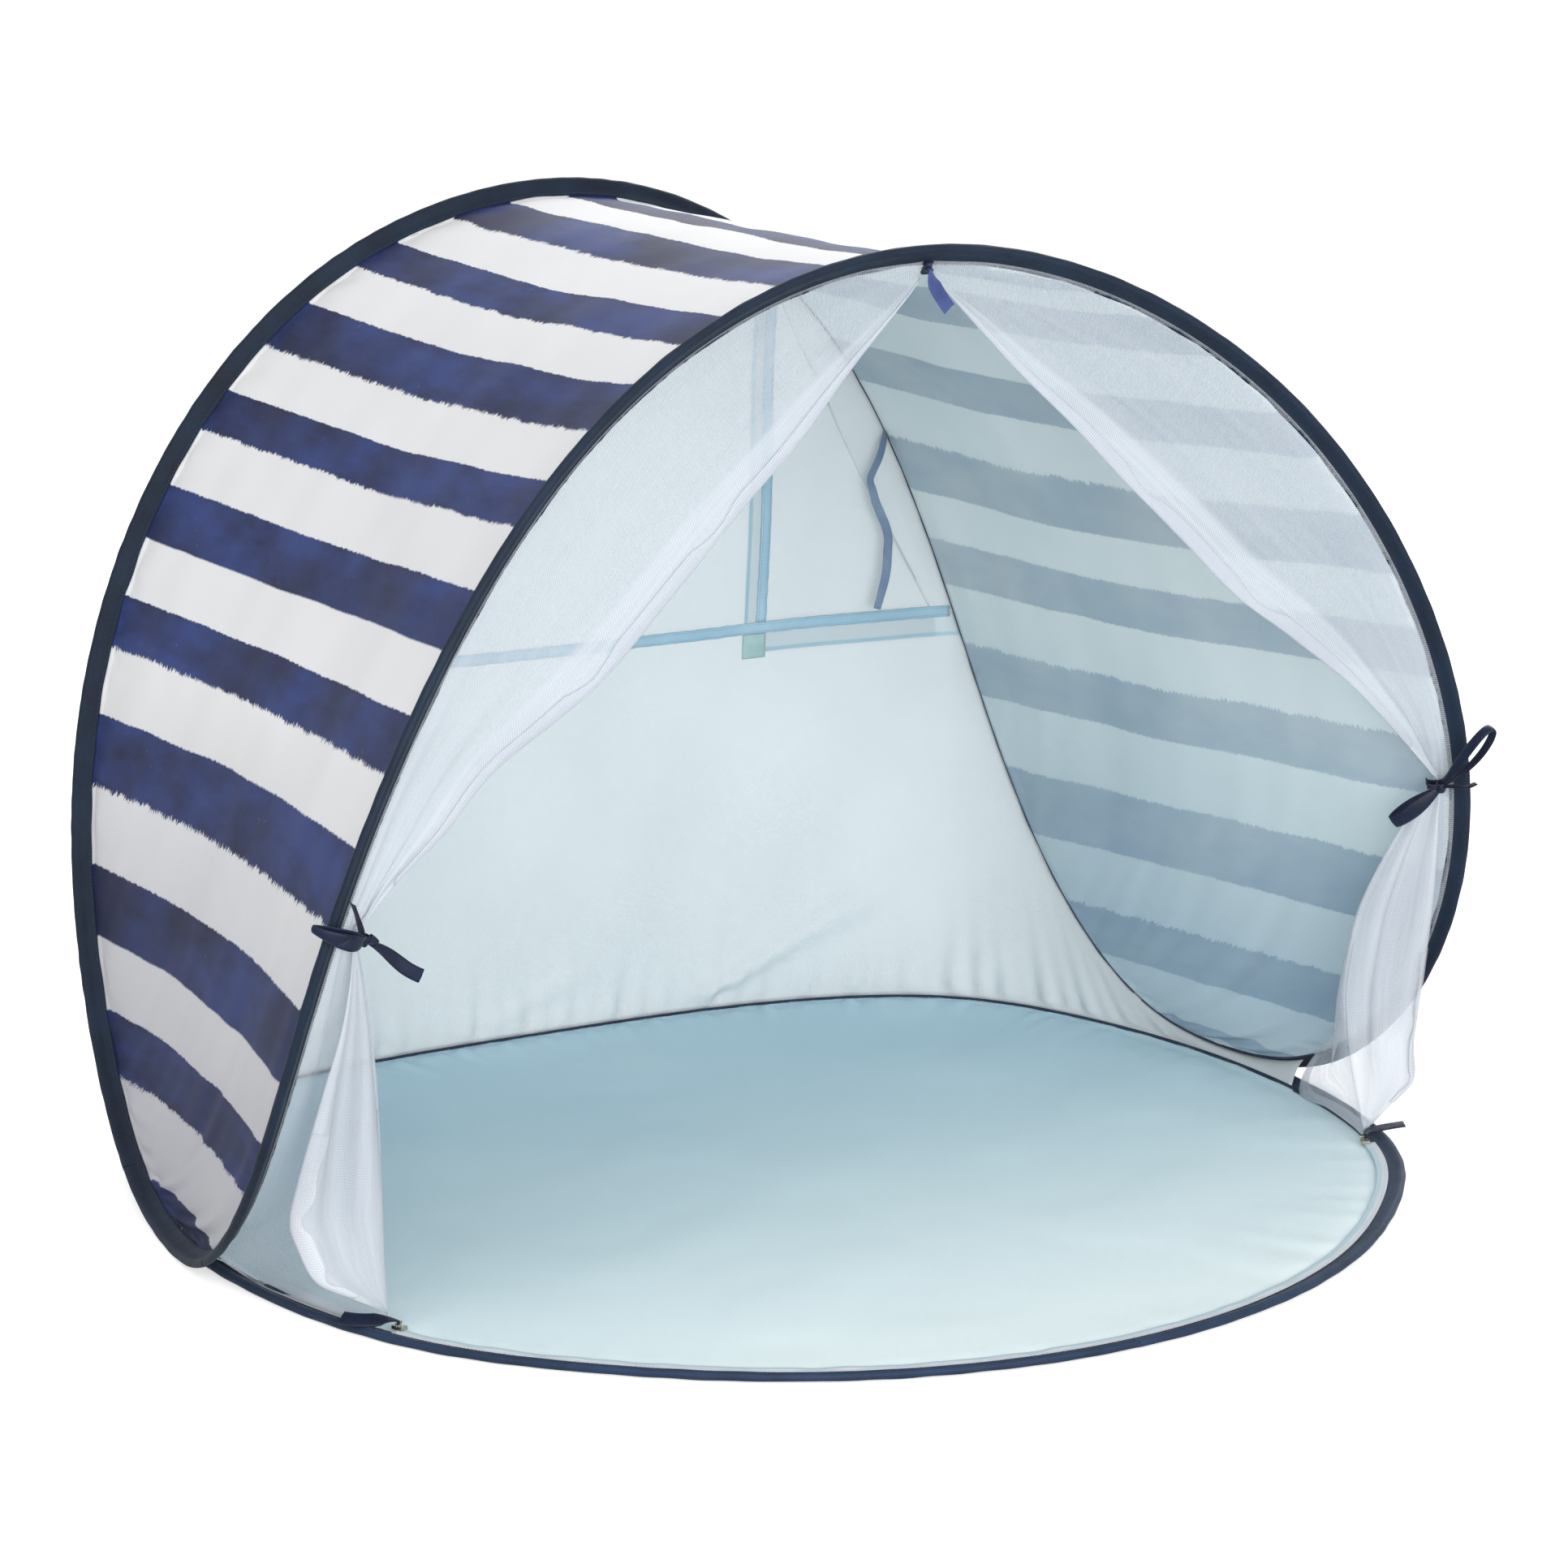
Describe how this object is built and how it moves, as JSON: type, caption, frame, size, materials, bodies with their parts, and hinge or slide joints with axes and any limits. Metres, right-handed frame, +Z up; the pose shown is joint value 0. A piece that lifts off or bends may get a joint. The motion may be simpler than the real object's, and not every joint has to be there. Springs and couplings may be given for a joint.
{
  "type": "beach tent",
  "caption": "Pop-up sun shelter for a small child: two sprung hoops carry a striped canopy, a floor, a vented back wall and a net door tied back at both sides.",
  "frame": {"origin": "middle of the floor panel's underside, on the ground", "axes": "+X along the width, to the right seen from the front; -Y out of the door; +Z up"},
  "size_m": [1.1506, 1.0272, 0.8332],
  "materials": {
    "navy_sleeve": "matte woven tape",
    "spring_steel": "bright drawn wire",
    "ferrule": "plain",
    "striped_canvas": "matte printed cloth",
    "blue_canvas": "matte cloth",
    "floor_canvas": "coated cloth",
    "wall_tape": "woven tape",
    "grey_tab": "hook and loop",
    "white_net": "fine net",
    "white_tape": "zip tape",
    "navy_ribbon": "woven ribbon",
    "slider_metal": "nickel",
    "slider_navy": "painted"
  },
  "bodies": {
    "tent": {"back_arch_sleeve": "navy_sleeve", "back_arch_wire": "spring_steel", "back_wall_centre": "blue_canvas", "back_wall_lower": "blue_canvas", "bottom_zip_tape_left": "white_tape", "bottom_zip_tape_right": "white_tape", "canopy_panel": "striped_canvas", "canopy_wire_ferrule": "ferrule", "door_zip_tape_left": "white_tape", "door_zip_tape_right": "white_tape", "floor_panel": "floor_canvas", "floor_sleeve": "navy_sleeve", "floor_wire": "spring_steel", "floor_wire_ferrule": "ferrule", "floor_zip_tape": "white_tape", "net_left": "white_net", "net_right": "white_net", "sill_tape": "wall_tape", "tip_left_sleeve": "navy_sleeve", "tip_left_wire": "spring_steel", "tip_right_sleeve": "navy_sleeve", "tip_right_wire": "spring_steel", "vent_facing_left": "blue_canvas", "vent_facing_right": "blue_canvas", "vent_tab_left": "grey_tab", "vent_tab_right": "grey_tab", "vent_tape_left": "wall_tape", "vent_tape_right": "wall_tape", "vent_tie_left": "navy_ribbon", "vent_tie_right": "navy_ribbon"},
    "front_arch": {"front_arch_sleeve": "navy_sleeve", "front_arch_wire": "spring_steel", "top_slider": "slider_navy", "tie_band_left": "navy_ribbon", "tie_band_right": "navy_ribbon", "tie_bow_left": "navy_ribbon", "tie_bow_right": "navy_ribbon"},
    "top_pull": {"top_pull": "navy_ribbon"},
    "vent_flap_left": {"vent_flap_left": "blue_canvas"},
    "vent_flap_right": {"vent_flap_right": "blue_canvas"},
    "floor_slider_left": {"floor_slider_left": "slider_metal"},
    "floor_slider_right": {"floor_slider_right": "slider_metal"},
    "floor_pull_left": {"floor_pull_left": "navy_ribbon"},
    "floor_pull_right": {"floor_pull_right": "navy_ribbon"}
  },
  "joints": [
    {"name": "front_arch_fold", "type": "hinge", "parent": "tent", "child": "front_arch", "pos_m": [0, 0.1, 0.0037], "axis": [-1, 0, 0], "range_deg": [0, 38], "stiffness_Nm_per_rad": 1, "deforming": ["canopy_panel", "net_left", "net_right", "door_zip_tape_left", "door_zip_tape_right", "bottom_zip_tape_left", "bottom_zip_tape_right", "tip_left_sleeve", "tip_right_sleeve", "tip_left_wire", "tip_right_wire"]},
    {"name": "vent_flap_left_swing", "type": "hinge", "parent": "tent", "child": "vent_flap_left", "pos_m": [-0.24738, 0.45921, 0.71386], "axis": [0.4933, -0.0326, 0.8693], "range_deg": [0, 100]},
    {"name": "vent_flap_right_swing", "type": "hinge", "parent": "tent", "child": "vent_flap_right", "pos_m": [0.24738, 0.45921, 0.71386], "axis": [0.4933, 0.0326, -0.8693], "range_deg": [0, 100]},
    {"name": "floor_slider_left_travel", "type": "slide", "parent": "tent", "child": "floor_slider_left", "axis": [0.4672, -0.8842, 0], "range_m": [0, 0.025]},
    {"name": "floor_pull_left_swing", "type": "hinge", "parent": "floor_slider_left", "child": "floor_pull_left", "pos_m": [-0.4738, -0.19146, 0.00927], "axis": [0.911, 0.4089, -0.0538], "range_deg": [0, 150]},
    {"name": "floor_slider_right_travel", "type": "slide", "parent": "tent", "child": "floor_slider_right", "axis": [-0.4672, -0.8842, 0], "range_m": [0, 0.025]},
    {"name": "floor_pull_right_swing", "type": "hinge", "parent": "floor_slider_right", "child": "floor_pull_right", "pos_m": [0.4738, -0.19146, 0.00927], "axis": [0.911, -0.4089, 0.0538], "range_deg": [0, 150]},
    {"name": "top_pull_swing", "type": "hinge", "parent": "front_arch", "child": "top_pull", "pos_m": [0, -0.20513, 0.80195], "axis": [-1, 0, 0], "range_deg": [-25, 100]}
  ]
}
